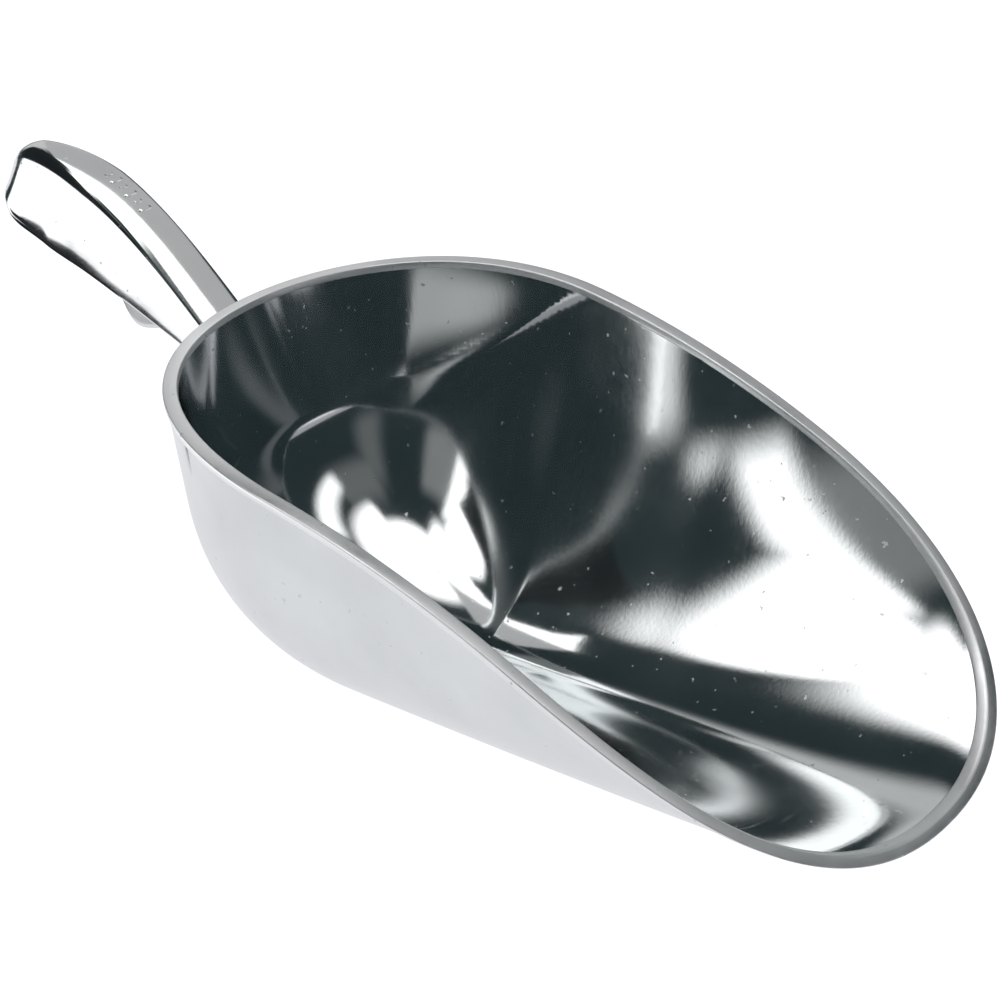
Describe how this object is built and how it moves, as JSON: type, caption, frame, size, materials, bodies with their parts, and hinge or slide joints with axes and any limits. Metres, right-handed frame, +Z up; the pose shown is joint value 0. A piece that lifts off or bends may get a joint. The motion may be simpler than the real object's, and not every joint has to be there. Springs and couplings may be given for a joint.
{
  "type": "ice scoop",
  "caption": "Cast aluminium ice scoop: deep trough bowl with a rounded back and sloping mouth, rim band, and a hollow tapered handle with a finger rest below it.",
  "frame": {"origin": "on the surface that the scoop stands on, under the centre of the bowl's rounded back end, on the flat foot", "axes": "+X out of the bowl's mouth, -X along the handle, +Y to the left when looking along +X, +Z up; the XZ plane is the plane of symmetry"},
  "size_m": [0.3254, 0.1368, 0.1312],
  "materials": {
    "bowl_metal": "polished casting, mirror-like inside with a fine polishing grain",
    "rim_metal": "ground and polished edge",
    "handle_metal": "polished casting",
    "rest_metal": "tumbled casting, satin"
  },
  "bodies": {
    "root": {"bowl": "bowl_metal", "rim_band": "rim_metal", "handle": "handle_metal", "finger_rest": "rest_metal"}
  },
  "joints": []
}
